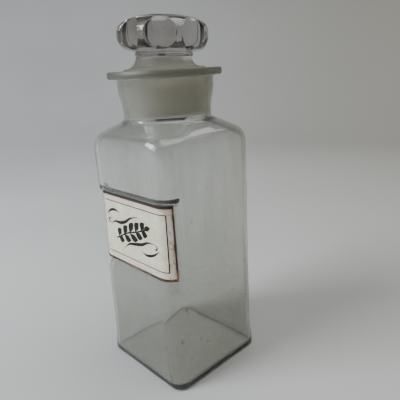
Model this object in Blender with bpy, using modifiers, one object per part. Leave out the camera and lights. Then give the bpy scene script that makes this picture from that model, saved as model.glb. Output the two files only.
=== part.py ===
"""A square shop jar of clear glass, with a ground-in stopper and a label cemented into its front
under a curved glass pane. Metres, +Z up. The jar stands on z = 0, on its axis, its label faces -Y."""

import math

import bmesh
import bpy
from mathutils import Matrix, Vector

MM = 0.001

# The jar's body: a square with rounded corners, which are tighter at the foot
FACE_WIDTH = 80 * MM
CORNER_RADIUS = 12.5 * MM
FOOT_CORNER_RADIUS = 8.5 * MM
FOOT_HEIGHT = 24 * MM
FOOT_STEPS = 3
WALL = 2.8 * MM
HEEL_RADIUS = 2 * MM
BASE_THICKNESS = 3.6 * MM
INNER_HEEL_RADIUS = 5 * MM
# The shallow round hollow under the base, and the matching crown inside
KICK_RADIUS = 24 * MM
KICK_FLAT_RADIUS = 19 * MM
KICK_HEIGHT = 1 * MM
CROWN_RADIUS = 8 * MM

# The shoulder: it starts lower at the corners than on the faces, and ends in the round neck
CORNER_SHOULDER_Z = 158.4 * MM
CORNER_SHOULDER_RADIUS = 11 * MM
FACE_SHOULDER_Z = 164 * MM
FACE_SHOULDER_RADIUS = 5 * MM

# The neck, its flange and its ground bore
NECK_FOOT_Z = 175.3 * MM
NECK_FOOT_RADIUS = 28.7 * MM
INNER_FOOT_DROP = 1.9 * MM
NECK_LOW_Z = 181.8 * MM
NECK_LOW_RADIUS = 29 * MM
NECK_HIGH_Z = 191.3 * MM
NECK_HIGH_RADIUS = 30.2 * MM
NECK_TOP_RADIUS = 31.3 * MM
NECK_FILLET = 0.8 * MM
FLANGE_Z = 201.3 * MM
FLANGE_THICKNESS = 4.7 * MM
FLANGE_RADIUS = 37.1 * MM
FLANGE_UNDER_EDGE = 1.5 * MM
FLANGE_TOP_EDGE = 0.7 * MM
BORE_MOUTH_EDGE = 0.4 * MM
RIM_Z = FLANGE_Z + FLANGE_THICKNESS
BORE_MOUTH_RADIUS = 26.9 * MM
BORE_TAPER = 0.05
GROUND_DEPTH = 28.5 * MM

# The stopper: a hollow ground plug, a waist and a pressed head with thumb-print flutes
GAP = 0.3 * MM
PLUG_LENGTH = 27.5 * MM
PLUG_WALL = 4.5 * MM
PLUG_HOLLOW_DEPTH = 24 * MM
PLUG_DOME_HEIGHT = 7 * MM
PLUG_MOUTH_EDGE = 1 * MM
PLUG_FOOT_EDGE = 0.8 * MM
FLARE_Z = RIM_Z + 0.8 * MM
FLARE_RADIUS = 26 * MM
WAIST_Z = 213.5 * MM
WAIST_RADIUS = 18 * MM
HEAD_UNDERSIDE_Z = 216.8 * MM
HEAD_UNDERSIDE_RADIUS = 19 * MM
HEAD_MIDDLE_Z = 226.3 * MM
HEAD_RADIUS = 29.6 * MM
HEAD_TOP_Z = 237.5 * MM
HEAD_TOP_RADIUS = 14 * MM
FLUTES = 8
FLUTE_DEPTH = 2.6 * MM
FLUTE_HALF_HEIGHT = 8.8 * MM
FLUTE_HALF_ANGLE = math.radians(18.5)
FIRST_FLUTE_ANGLE = math.radians(-43.3)
# The head leans a little on its plug, because the two were ground true to each other by hand
LEAN = math.radians(2.8)
LEAN_AXIS = Vector((-0.77, 0.64, 0)).normalized()

# The label: a pane, a printed sheet behind it, and the cement that beds both in a moulded recess
LABEL_BOTTOM_Z = 80.6 * MM
LABEL_TOP_Z = 127 * MM
PANE_DEPTH_BOTTOM = 0.6 * MM
PANE_DEPTH_TOP = 1.7 * MM
PANE_THICKNESS = 1.2 * MM
PANE_HALF_ARC = math.radians(60)
SHEET_THICKNESS = 0.3 * MM
SHEET_MARGIN = 0.6 * MM
BED_THICKNESS = 0.6 * MM
CEMENT_RIM = 0.9 * MM
CEMENT_HALF_ARC = math.radians(65)
RECESS_HALF_ARC = math.radians(67)
RECESS_MOUTH_HALF_ARC = math.radians(74)
RECESS_TOP_LEDGE = 2.4 * MM
RECESS_BOTTOM_LEDGE = 0.6 * MM

# How finely the curves are divided
STOPPER_SIDES = 48
ARC_STEPS = 6
FLAT_STEPS = 4
LABEL_ARC_STEPS = 8


def clear_scene():
    for obj in list(bpy.data.objects):
        bpy.data.objects.remove(obj, do_unlink=True)


def make_collection(name):
    collection = bpy.data.collections.new(name)
    bpy.context.scene.collection.children.link(collection)
    return collection


def make_material(name, colour, roughness, metallic=0.0, transmission=0.0):
    material = bpy.data.materials.new(name)
    material.use_nodes = True
    shader = material.node_tree.nodes["Principled BSDF"]
    shader.inputs["Base Color"].default_value = (*colour, 1)
    shader.inputs["Roughness"].default_value = roughness
    shader.inputs["Metallic"].default_value = metallic
    shader.inputs["Transmission Weight"].default_value = transmission
    return material


def flint_glass(name):
    return make_material(name, (0.86, 0.88, 0.86), 0.04, transmission=1.0)


def label_paper():
    return make_material("label_paper", (0.80, 0.74, 0.62), 0.7)


def resin_cement():
    return make_material("resin_cement", (0.12, 0.06, 0.02), 0.35)


def ramp(value, start, end):
    """0 at start, 1 at end, and straight between them."""
    return min(1.0, max(0.0, (value - start) / (end - start)))


def add_mesh_object(name, bm, material, collection):
    mesh = bpy.data.meshes.new(name)
    bmesh.ops.recalc_face_normals(bm, faces=bm.faces)
    bm.to_mesh(mesh)
    bm.free()
    mesh.materials.append(material)
    mesh.shade_smooth()
    mesh.set_sharp_from_angle(angle=math.radians(40))
    obj = bpy.data.objects.new(name, mesh)
    collection.objects.link(obj)
    return obj


def loft(rings):
    """One closed skin through rings of equal count, with a flat cap on the first and the last."""
    bm = bmesh.new()
    loops = [[bm.verts.new(point) for point in ring] for ring in rings]
    for lower, upper in zip(loops, loops[1:]):
        for i in range(len(lower)):
            j = (i + 1) % len(lower)
            bm.faces.new((lower[i], lower[j], upper[j], upper[i]))
    bm.faces.new(reversed(loops[0]))
    bm.faces.new(loops[-1])
    return bm


# ---- The rounded square ----


def rounded_square_point(half, corner, angle, depth):
    """The outline's point seen from the axis at this angle, moved in by depth along its normal."""
    quarter = round(angle / (math.pi / 2)) * math.pi / 2
    local = abs(angle - quarter)
    centre = half - corner
    if half * math.tan(local) <= centre:
        point = Vector((half, half * math.tan(local)))
        normal = Vector((1, 0))
    else:
        across = centre * (math.cos(local) + math.sin(local))
        reach = across + math.sqrt(corner**2 - centre**2 * (1 - math.sin(2 * local)))
        point = Vector((math.cos(local), math.sin(local))) * reach
        normal = (point - Vector((centre, centre))) / corner
    point -= normal * depth
    if angle < quarter:
        point.y = -point.y
    point.rotate(Matrix.Rotation(quarter, 2))
    return point


def corner_angle(arc):
    """The angle at the axis, from a face's middle, of the point this far round its corner arc."""
    centre = FACE_WIDTH / 2 - CORNER_RADIUS
    across = centre + CORNER_RADIUS * math.sin(arc)
    return math.atan2(across, centre + CORNER_RADIUS * math.cos(arc))


def ring_angles():
    """The ring's angles from the label's middle: flats, corner arcs and the recess's own edges."""
    arc_start = corner_angle(0)
    recess_edge = corner_angle(RECESS_HALF_ARC)
    quadrant = [arc_start * i / FLAT_STEPS for i in range(FLAT_STEPS)]
    quadrant += [arc_start + (recess_edge - arc_start) * i / ARC_STEPS for i in range(ARC_STEPS + 1)]
    quadrant.append(corner_angle(RECESS_MOUTH_HALF_ARC))
    arc_end = math.pi / 2 - arc_start
    quadrant += [arc_end + arc_start * i / FLAT_STEPS for i in range(FLAT_STEPS)]
    right = quadrant + [math.pi / 2] + [math.pi - angle for angle in reversed(quadrant)]
    left = [-angle for angle in reversed(right[1:-1])]
    return right + left


RING_ANGLES = ring_angles()


def pane_depth(z):
    """How far the label's glass lies behind the jar's face: more at its top than at its bottom."""
    rise = (z - LABEL_BOTTOM_Z) / (LABEL_TOP_Z - LABEL_BOTTOM_Z)
    return PANE_DEPTH_BOTTOM + (PANE_DEPTH_TOP - PANE_DEPTH_BOTTOM) * rise


def recess_depth(angle, z, spread):
    """How far the recess pushes the wall in. spread widens it on the wall's inner side."""
    floor = pane_depth(z) + PANE_THICKNESS + SHEET_THICKNESS + BED_THICKNESS + 3 * GAP
    widened = spread / (FACE_WIDTH / 2)
    side_start = corner_angle(RECESS_HALF_ARC) + widened
    side_end = corner_angle(RECESS_MOUTH_HALF_ARC) + 2 * widened
    side = 1 - ramp(abs(angle), side_start, side_end)
    bottom_start, bottom_end, _, top_start, top_end = recess_levels(spread)
    up = ramp(z, bottom_start, bottom_end)
    down = 1 - ramp(z, top_start, top_end)
    return floor * side * up * down


def recess_levels(spread):
    """The heights where the recess's bottom ledge starts and ends, its middle, and its top ledge's."""
    bottom_end = LABEL_BOTTOM_Z - CEMENT_RIM - spread
    top_start = LABEL_TOP_Z + CEMENT_RIM / 2 + spread
    return [
        bottom_end - RECESS_BOTTOM_LEDGE - spread,
        bottom_end,
        (bottom_end + top_start) / 2,
        top_start,
        top_start + RECESS_TOP_LEDGE + spread,
    ]


def square_ring(half, corner, z, spread=None):
    points = []
    for angle in RING_ANGLES:
        depth = 0 if spread is None else recess_depth(angle, z, spread)
        flat = rounded_square_point(half, corner, angle - math.pi / 2, depth)
        points.append(Vector((flat.x, flat.y, z)))
    return points


def round_ring(radius, z):
    return square_ring(radius, radius, z)


# ---- The jar ----


def shoulder_reach(z, reach, start_z, radius, foot_radius, foot_z):
    """A shoulder's distance from the axis: upright, then an arc, then its tangent to the neck's foot."""
    centre = reach - radius
    if z <= start_z:
        return reach
    run = centre - foot_radius
    rise = foot_z - start_z
    turn = math.atan2(rise, -run) - math.acos(radius / math.hypot(run, rise))
    tangent_z = start_z + radius * math.sin(turn)
    if z <= tangent_z:
        return centre + math.sqrt(radius**2 - (z - start_z) ** 2)
    tangent_reach = centre + radius * math.cos(turn)
    return tangent_reach + (foot_radius - tangent_reach) * (z - tangent_z) / (foot_z - tangent_z)


def shoulder_ring(z, inset, foot_radius, foot_z):
    """A section of the shoulder, inset from the outside by the wall or by nothing."""
    half = FACE_WIDTH / 2 - inset
    diagonal = FACE_WIDTH / math.sqrt(2) - CORNER_RADIUS * (math.sqrt(2) - 1) - inset
    face = shoulder_reach(z, half, FACE_SHOULDER_Z, FACE_SHOULDER_RADIUS - inset, foot_radius, foot_z)
    edge = shoulder_reach(
        z, diagonal, CORNER_SHOULDER_Z, CORNER_SHOULDER_RADIUS - inset, foot_radius, foot_z
    )
    corner = (face * math.sqrt(2) - edge) / (math.sqrt(2) - 1)
    return square_ring(face, min(corner, face), z)


def levels(start, end, count):
    """Heights from start to end, without the end itself."""
    return [start + (end - start) * i / count for i in range(count)]


def corner_radius(z):
    """The outer corner's radius, which grows from the foot up to where the body is even."""
    return FOOT_CORNER_RADIUS + (CORNER_RADIUS - FOOT_CORNER_RADIUS) * ramp(z, HEEL_RADIUS, FOOT_HEIGHT)


def outer_body_rings():
    half = FACE_WIDTH / 2
    rings = [round_ring(KICK_FLAT_RADIUS, KICK_HEIGHT), round_ring(KICK_RADIUS, 0)]
    for step in range(4):
        turn = math.pi / 2 * step / 3
        inset = HEEL_RADIUS * (1 - math.sin(turn))
        z = HEEL_RADIUS * (1 - math.cos(turn))
        rings.append(square_ring(half - inset, corner_radius(z) - inset, z))
    for z in levels(HEEL_RADIUS, FOOT_HEIGHT, FOOT_STEPS)[1:] + [FOOT_HEIGHT]:
        rings.append(square_ring(half, corner_radius(z), z))
    rings += [square_ring(half, CORNER_RADIUS, z, 0.0) for z in recess_levels(0.0)]
    heights = levels(CORNER_SHOULDER_Z, FACE_SHOULDER_Z, 3) + levels(FACE_SHOULDER_Z, NECK_FOOT_Z, 6)
    rings += [shoulder_ring(z, 0.0, NECK_FOOT_RADIUS, NECK_FOOT_Z) for z in heights]
    return rings


def neck_rings():
    """Up the neck's outside, round the flange, and down the ground bore."""
    profile = [
        (NECK_FOOT_RADIUS, NECK_FOOT_Z),
        (NECK_LOW_RADIUS, NECK_LOW_Z),
        (NECK_HIGH_RADIUS, NECK_HIGH_Z),
        (NECK_TOP_RADIUS, FLANGE_Z - NECK_FILLET),
        (NECK_TOP_RADIUS + NECK_FILLET, FLANGE_Z),
        (FLANGE_RADIUS - FLANGE_UNDER_EDGE, FLANGE_Z),
        (FLANGE_RADIUS - FLANGE_UNDER_EDGE / 4, FLANGE_Z + FLANGE_UNDER_EDGE / 2),
        (FLANGE_RADIUS, FLANGE_Z + FLANGE_UNDER_EDGE),
        (FLANGE_RADIUS, RIM_Z - FLANGE_TOP_EDGE),
        (FLANGE_RADIUS - FLANGE_TOP_EDGE, RIM_Z),
        (BORE_MOUTH_RADIUS + BORE_MOUTH_EDGE, RIM_Z),
        (BORE_MOUTH_RADIUS, RIM_Z - BORE_MOUTH_EDGE),
        (bore_radius(RIM_Z - GROUND_DEPTH), RIM_Z - GROUND_DEPTH),
    ]
    return [round_ring(radius, z) for radius, z in profile]


def bore_radius(z):
    return BORE_MOUTH_RADIUS - BORE_TAPER * (RIM_Z - z)


def inner_body_rings():
    """From the inside of the neck's foot down to the floor."""
    half = FACE_WIDTH / 2 - WALL
    corner = CORNER_RADIUS - WALL
    foot_radius = NECK_FOOT_RADIUS - WALL
    foot_z = NECK_FOOT_Z - INNER_FOOT_DROP
    heights = levels(foot_z, FACE_SHOULDER_Z, 5) + levels(FACE_SHOULDER_Z, CORNER_SHOULDER_Z, 2)
    rings = [shoulder_ring(z, WALL, foot_radius, foot_z) for z in heights]
    rings.append(square_ring(half, corner, CORNER_SHOULDER_Z))
    rings += [square_ring(half, corner, z, WALL / 2) for z in reversed(recess_levels(WALL / 2))]
    inner_heel_z = BASE_THICKNESS + INNER_HEEL_RADIUS
    for z in levels(FOOT_HEIGHT, inner_heel_z, FOOT_STEPS - 1):
        rings.append(square_ring(half, corner_radius(z) - WALL, z))
    for step in range(5):
        turn = math.pi / 2 * step / 4
        inset = INNER_HEEL_RADIUS * (1 - math.cos(turn))
        z = inner_heel_z - INNER_HEEL_RADIUS * math.sin(turn)
        rings.append(square_ring(half - inset, corner_radius(inner_heel_z) - WALL, z))
    rings.append(round_ring(CROWN_RADIUS, BASE_THICKNESS + KICK_HEIGHT))
    return rings


def make_jar_body(collection):
    rings = outer_body_rings() + neck_rings() + inner_body_rings()
    return add_mesh_object("jar_body", loft(rings), flint_glass("flint_glass_jar"), collection)


# ---- The stopper ----


def head_radius(z):
    """The head's outline over its ribs: an upper and a lower quarter ellipse."""
    if z >= HEAD_MIDDLE_Z:
        edge_radius = HEAD_TOP_RADIUS
        rise = (z - HEAD_MIDDLE_Z) / (HEAD_TOP_Z - HEAD_MIDDLE_Z)
    else:
        edge_radius = HEAD_UNDERSIDE_RADIUS
        rise = (HEAD_MIDDLE_Z - z) / (HEAD_MIDDLE_Z - HEAD_UNDERSIDE_Z)
    return edge_radius + (HEAD_RADIUS - edge_radius) * math.sqrt(max(0.0, 1 - rise**2))


def flute_cut(angle, z):
    """How deep a flute bites here: each one is an oval dish, so this is 0 on the ribs between them."""
    pitch = 2 * math.pi / FLUTES
    across = (angle - FIRST_FLUTE_ANGLE + pitch / 2) % pitch - pitch / 2
    up = (z - HEAD_MIDDLE_Z) / FLUTE_HALF_HEIGHT
    return FLUTE_DEPTH * max(0.0, 1 - (across / FLUTE_HALF_ANGLE) ** 2 - up**2)


def leaning(point):
    """Tips what stands above the plug, more and more up to the waist."""
    share = ramp(point.z, FLARE_Z, WAIST_Z)
    pivot = Vector((0, 0, FLARE_Z))
    return pivot + Matrix.Rotation(LEAN * share, 3, LEAN_AXIS) @ (point - pivot)


def stopper_ring(radius, z):
    points = []
    for side in range(STOPPER_SIDES):
        angle = FIRST_FLUTE_ANGLE + 2 * math.pi * side / STOPPER_SIDES
        reach = radius - flute_cut(angle, z)
        points.append(leaning(Vector((reach * math.cos(angle), reach * math.sin(angle), z))))
    return points


def plug_outer_radius(z):
    return bore_radius(z) - GAP


def hollow_rings():
    """The plug's open hollow, from its crown down to its mouth."""
    crown_z = RIM_Z - PLUG_LENGTH + PLUG_HOLLOW_DEPTH
    dome_z = crown_z - PLUG_DOME_HEIGHT
    rings = []
    for turn in (12, 35, 60, 90):
        reach = (plug_outer_radius(dome_z) - PLUG_WALL) * math.sin(math.radians(turn))
        z = dome_z + (crown_z - dome_z) * math.cos(math.radians(turn))
        rings.append(stopper_ring(reach, z))
    foot_z = RIM_Z - PLUG_LENGTH
    mouth_radius = plug_outer_radius(foot_z) - PLUG_WALL
    rings.append(stopper_ring(mouth_radius, foot_z + PLUG_MOUTH_EDGE))
    rings.append(stopper_ring(mouth_radius + PLUG_MOUTH_EDGE, foot_z))
    return rings


def plug_and_flare_rings():
    foot_z = RIM_Z - PLUG_LENGTH
    rings = [
        stopper_ring(plug_outer_radius(foot_z) - PLUG_FOOT_EDGE, foot_z),
        stopper_ring(plug_outer_radius(foot_z), foot_z + PLUG_FOOT_EDGE),
        stopper_ring(plug_outer_radius(RIM_Z), RIM_Z),
    ]
    for turn in (0, 18, 36, 54, 72):
        drop = math.cos(math.radians(turn))
        reach = FLARE_RADIUS - (FLARE_RADIUS - WAIST_RADIUS) * math.sin(math.radians(turn))
        rings.append(stopper_ring(reach, WAIST_Z - (WAIST_Z - FLARE_Z) * drop))
    rings.append(stopper_ring(WAIST_RADIUS, WAIST_Z))
    return rings


def head_rings():
    """From the underside's inner edge round the fluted side to the flat top."""
    rings = [stopper_ring(HEAD_UNDERSIDE_RADIUS, HEAD_UNDERSIDE_Z)]
    for turn in (-66, -48, -32, -16, 0, 15, 30, 45, 60, 75, 90):
        below = turn < 0
        semi_height = HEAD_MIDDLE_Z - HEAD_UNDERSIDE_Z if below else HEAD_TOP_Z - HEAD_MIDDLE_Z
        z = HEAD_MIDDLE_Z + semi_height * math.sin(math.radians(turn))
        rings.append(stopper_ring(head_radius(z), z))
    return rings


def make_stopper(collection):
    rings = hollow_rings() + plug_and_flare_rings() + head_rings()
    return add_mesh_object("stopper", loft(rings), flint_glass("flint_glass_stopper"), collection)


# ---- The label ----


def label_path(half_arc, depth):
    """The label's plan: round one corner arc, across the flat and round the other."""
    centre = FACE_WIDTH / 2 - CORNER_RADIUS
    radius = CORNER_RADIUS - depth
    arc = [half_arc * step / LABEL_ARC_STEPS for step in range(LABEL_ARC_STEPS + 1)]
    right = [Vector((centre + radius * math.sin(a), -centre - radius * math.cos(a))) for a in arc]
    left = [Vector((-point.x, point.y)) for point in reversed(right)]
    return left + right


def make_label_layer(name, half_arc, grow, sink, thickness, material, collection):
    """A curved layer of the label. It is sunk behind the pane's front, and its height grows by grow."""
    bm = bmesh.new()
    rows = []
    for z in (LABEL_BOTTOM_Z - grow, LABEL_TOP_Z + grow):
        path = label_path(half_arc, pane_depth(z) + sink)
        rows.append([bm.verts.new((point.x, point.y, z)) for point in path])
    for i in range(len(rows[0]) - 1):
        bm.faces.new((rows[0][i], rows[0][i + 1], rows[1][i + 1], rows[1][i]))
    obj = add_mesh_object(name, bm, material, collection)
    if obj.data.polygons[0].normal.y > 0:
        obj.data.flip_normals()
    shell = obj.modifiers.new("thickness", "SOLIDIFY")
    shell.thickness = thickness
    shell.offset = -1
    shell.use_even_offset = True
    return obj


def cut(obj, cutter):
    boolean = obj.modifiers.new("cut", "BOOLEAN")
    boolean.operation = "DIFFERENCE"
    boolean.solver = "EXACT"
    boolean.object = cutter
    cutter.hide_render = True
    cutter.display_type = "WIRE"


def make_label(collection, cutters):
    make_label_layer(
        "label_glass", PANE_HALF_ARC, 0, 0, PANE_THICKNESS, flint_glass("flint_glass_pane"), collection
    )
    sheet_arc = PANE_HALF_ARC - SHEET_MARGIN / CORNER_RADIUS
    sheet_sink = PANE_THICKNESS + GAP
    make_label_layer(
        "label_sheet", sheet_arc, -SHEET_MARGIN, sheet_sink, SHEET_THICKNESS, label_paper(), collection
    )
    bed_sink = sheet_sink + SHEET_THICKNESS + GAP
    cement_thickness = bed_sink + BED_THICKNESS - GAP
    cement = make_label_layer(
        "label_cement", CEMENT_HALF_ARC, CEMENT_RIM - GAP, GAP, cement_thickness, resin_cement(), collection
    )
    pocket_arc = PANE_HALF_ARC + GAP / (CORNER_RADIUS - PANE_DEPTH_TOP - bed_sink)
    clearance = 1 * MM
    pocket = make_label_layer(
        "label_pocket", pocket_arc, GAP, -clearance, bed_sink + clearance, resin_cement(), cutters
    )
    cut(cement, pocket)


def main():
    clear_scene()
    collection = make_collection("apothecary_jar")
    cutters = make_collection("cutters")
    make_jar_body(collection)
    make_stopper(collection)
    make_label(collection, cutters)


main()
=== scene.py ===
# %% [markdown]
# # A square shop jar in clear glass
# A druggist's shelf jar is three things: a thick moulded bottle, a pressed stopper ground into its
# neck, and a printed label sealed behind a bent pane. This notebook makes each as a smooth mesh
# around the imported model. We load that first, and keep its box, because nothing may grow past it.

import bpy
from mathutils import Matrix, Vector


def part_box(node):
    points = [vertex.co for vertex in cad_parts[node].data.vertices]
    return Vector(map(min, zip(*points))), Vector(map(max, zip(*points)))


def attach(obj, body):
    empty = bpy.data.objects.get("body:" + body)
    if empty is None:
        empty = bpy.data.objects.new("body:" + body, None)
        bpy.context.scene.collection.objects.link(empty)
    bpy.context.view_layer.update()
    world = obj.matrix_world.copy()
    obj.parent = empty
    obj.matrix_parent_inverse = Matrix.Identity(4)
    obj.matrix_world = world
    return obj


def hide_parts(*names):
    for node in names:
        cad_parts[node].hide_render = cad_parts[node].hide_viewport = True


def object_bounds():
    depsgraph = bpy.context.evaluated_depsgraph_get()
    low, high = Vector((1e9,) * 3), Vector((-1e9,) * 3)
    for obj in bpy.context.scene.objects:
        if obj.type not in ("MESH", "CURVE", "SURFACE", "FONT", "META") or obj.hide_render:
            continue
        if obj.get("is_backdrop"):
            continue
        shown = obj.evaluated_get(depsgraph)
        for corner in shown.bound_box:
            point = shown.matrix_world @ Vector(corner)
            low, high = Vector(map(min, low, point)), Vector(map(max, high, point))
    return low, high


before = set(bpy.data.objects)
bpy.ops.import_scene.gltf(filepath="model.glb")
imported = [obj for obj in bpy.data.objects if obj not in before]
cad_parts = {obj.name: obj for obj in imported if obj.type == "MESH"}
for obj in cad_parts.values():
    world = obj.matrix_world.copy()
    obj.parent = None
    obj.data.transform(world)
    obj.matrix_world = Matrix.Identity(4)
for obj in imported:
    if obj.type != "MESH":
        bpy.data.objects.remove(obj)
cad_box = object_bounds()

# %% [markdown]
# ## Sizes
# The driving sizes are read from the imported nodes, so the fine meshes can't drift away from them.
# The few radii that a box can't tell are written down once, in millimetres. Blender itself works
# in metres.

# %% Read the sizes
import math
import random

import bpy
import numpy as np
from mathutils import Matrix, Vector

MM = 0.001
jar_low, jar_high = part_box("jar_body")
pane_low, pane_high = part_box("label_glass")
stopper_low, stopper_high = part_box("stopper")

HALF_FACE = jar_high.x
RIM_Z = jar_high.z
PLUG_FOOT_Z = stopper_low.z
LABEL_BOTTOM_Z = pane_low.z
LABEL_TOP_Z = pane_high.z
CORNER_RADIUS = 12.5 * MM
WALL = 2.8 * MM
CORNER_CENTRE = HALF_FACE - CORNER_RADIUS
print(f"face {2 * HALF_FACE / MM:.1f} mm, rim at {RIM_Z / MM:.1f} mm")

# %% [markdown]
# ## A skin over rings
# Almost everything on this jar is a stack of closed outlines: squares with round corners that turn
# into circles. Blender could loft them with modifiers, but then the label's recess and the flutes
# would need cutters. Here each outline is worked out as numbers and the skin is stretched over the
# stack, which gives an even mesh whose every point we can push by a formula.

# %% Meshes from rings
def add_piece(name, points, faces, smooth_angle=50):
    mesh = bpy.data.meshes.new(name)
    mesh.from_pydata(points, [], faces)
    mesh.validate()
    mesh.shade_smooth()
    mesh.set_sharp_from_angle(angle=math.radians(smooth_angle))
    piece = bpy.data.objects.new(name, mesh)
    bpy.context.scene.collection.objects.link(piece)
    print(f"{name}: {len(mesh.polygons)} faces")
    return piece


def skin_faces(ring_count, side_count):
    """Quads between neighbouring rings, and one cap on each end."""
    faces = []
    for ring in range(ring_count - 1):
        lower = ring * side_count
        upper = lower + side_count
        for side in range(side_count):
            after = (side + 1) % side_count
            faces.append((lower + side, lower + after, upper + after, upper + side))
    top = (ring_count - 1) * side_count
    faces.append(tuple(range(side_count - 1, -1, -1)))
    faces.append(tuple(range(top, top + side_count)))
    return faces


# %% Profiles with rounded bends
SAME_PLACE = 1e-6


def rounded_profile(corners, step=1.5 * MM, arc_steps=7):
    """A run of (radius, height) points through corners given as (radius, height, bend radius)."""
    places = [np.array(corner[:2], float) for corner in corners]
    run = [places[0]]
    for i in range(1, len(corners) - 1):
        bend = corners[i][2]
        back = places[i - 1] - places[i]
        ahead = places[i + 1] - places[i]
        back_way, ahead_way = back / np.linalg.norm(back), ahead / np.linalg.norm(ahead)
        half_angle = math.acos(np.clip(back_way @ ahead_way, -1, 1)) / 2
        tangent = bend / math.tan(half_angle)
        tangent = min(tangent, 0.49 * np.linalg.norm(back), 0.49 * np.linalg.norm(ahead))
        start, end = places[i] + back_way * tangent, places[i] + ahead_way * tangent
        for share in np.linspace(0, 1, arc_steps + 1):
            run.append(start * (1 - share) ** 2 + 2 * places[i] * share * (1 - share) + end * share**2)
    run.append(places[-1])
    filled = [run[0]]
    for here, there in zip(run, run[1:]):
        pieces = max(1, round(np.linalg.norm(there - here) / step))
        filled += [here + (there - here) * i / pieces for i in range(1, pieces + 1)]
    return np.array([
        place for i, place in enumerate(filled)
        if i == 0 or np.linalg.norm(place - filled[i - 1]) > SAME_PLACE
    ])


# %% [markdown]
# ## The rounded square
# Every section of the body is a square whose corners are arcs. We name a point on it by its angle
# round the jar's axis, because the round neck has to share the same spokes. The spokes are crowded
# at the corner arcs, which keeps them smooth.

# %% Outlines of the body
ARC_SPOKES, FLAT_SPOKES = 44, 12


def corner_spoke(arc):
    """The spoke, from a face's middle, that meets the corner arc this far round."""
    across = CORNER_CENTRE + CORNER_RADIUS * np.sin(arc)
    return np.arctan2(across, CORNER_CENTRE + CORNER_RADIUS * np.cos(arc))


def spokes():
    """The spokes all the way round, starting at the middle of the label's face."""
    flat = np.linspace(0, corner_spoke(0.0), FLAT_SPOKES, endpoint=False)
    arc = corner_spoke(np.linspace(0, math.pi / 2, ARC_SPOKES, endpoint=False))
    last = math.pi / 2 - flat[:0:-1]
    quadrant = np.concatenate([flat, arc, [math.pi / 2 - corner_spoke(0.0)], last])
    return np.concatenate([quadrant + turn * math.pi / 2 for turn in range(4)])


SPOKES = spokes()
SIDES = len(SPOKES)


def outline(half, corner, depth=0.0):
    """The rounded square's points, each moved in along its own normal by depth."""
    quarter = np.round(SPOKES / (math.pi / 2)) * math.pi / 2
    signed = SPOKES - quarter
    local = np.abs(signed)
    centre = half - corner
    flat = half * np.tan(local) <= centre
    across = centre * (np.cos(local) + np.sin(local))
    inside_root = np.maximum(corner**2 - centre**2 * (1 - np.sin(2 * local)), 0)
    reach = np.where(flat, half / np.cos(local), across + np.sqrt(inside_root))
    x, y = reach * np.cos(local), reach * np.sin(local)
    safe_corner = max(corner, 1e-9)
    normal_x = np.where(flat, 1.0, (x - centre) / safe_corner)
    normal_y = np.where(flat, 0.0, (y - centre) / safe_corner)
    x, y = x - normal_x * depth, (y - normal_y * depth) * np.where(signed < 0, -1, 1)
    turn = quarter - math.pi / 2
    return np.stack([x * np.cos(turn) - y * np.sin(turn), x * np.sin(turn) + y * np.cos(turn)], 1)


def ring_at(flat_points, z):
    return np.column_stack([flat_points, np.full(len(flat_points), z)])


print(f"{SIDES} spokes round the body")

# %% [markdown]
# ## The label's bed
# Shop jars with glass labels were blown in moulds that press a shallow tray into the front and
# round both front corners. The tray is deeper at its top than at its bottom, so its upper ledge
# shows as a grey band, while its lower one fades over a long way and hardly shows at all. Both
# walls of the glass follow it. Its edges are drawn with smooth steps rather than corners, since
# blown glass never fills a mould sharply.

# %% The recess in the front
PANE_DEPTH_BOTTOM, PANE_DEPTH_TOP = 0.6 * MM, 1.7 * MM
PANE_THICKNESS = 1.2 * MM
SHEET_THICKNESS = 0.3 * MM
GAP = 0.3 * MM
BED_THICKNESS = 0.6 * MM
CEMENT_RIM = 0.9 * MM
RECESS_HALF_ARC = math.radians(64)
RECESS_MOUTH_HALF_ARC = math.radians(81.5)
TOP_LEDGE, BOTTOM_LEDGE = 2.8 * MM, 11 * MM
TOP_LEDGE_SPREAD_AT_SIDES = 0.4
ROW_STEP, ROW_CLEARANCE, LEDGE_MARGIN = 2.5 * MM, 1.2 * MM, 0.3 * MM


def smooth_step(value, start, end):
    share = np.clip((value - start) / (end - start), 0, 1)
    return share * share * (3 - 2 * share)


def pane_depth(z):
    rise = (z - LABEL_BOTTOM_Z) / (LABEL_TOP_Z - LABEL_BOTTOM_Z)
    return PANE_DEPTH_BOTTOM + (PANE_DEPTH_TOP - PANE_DEPTH_BOTTOM) * rise


def tray_span(spread):
    """The heights at which the tray's lower and upper ledges start."""
    return LABEL_BOTTOM_Z - CEMENT_RIM - spread, LABEL_TOP_Z + CEMENT_RIM / 2 + spread


def recess_depth(z, spread):
    """How far the tray pushes the wall in at this height, for every spoke."""
    floor = pane_depth(z) + PANE_THICKNESS + SHEET_THICKNESS + BED_THICKNESS + 3 * GAP
    widened = spread / HALF_FACE
    turn = np.abs(np.where(SPOKES > math.pi, SPOKES - 2 * math.pi, SPOKES))
    side_start = corner_spoke(RECESS_HALF_ARC) + widened
    side_end = corner_spoke(RECESS_MOUTH_HALF_ARC) + widened
    bottom, top = tray_span(spread)
    past_side = np.maximum(turn - side_start, 0) / (side_end - side_start)
    past_bottom = max(bottom - z, 0) / (BOTTOM_LEDGE + spread)
    past_top = max(z - top, 0) / ((TOP_LEDGE + spread) * (1 + TOP_LEDGE_SPREAD_AT_SIDES * past_side))
    return floor * (1 - smooth_step(np.sqrt(past_side**2 + past_bottom**2 + past_top**2), 0, 1))


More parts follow.
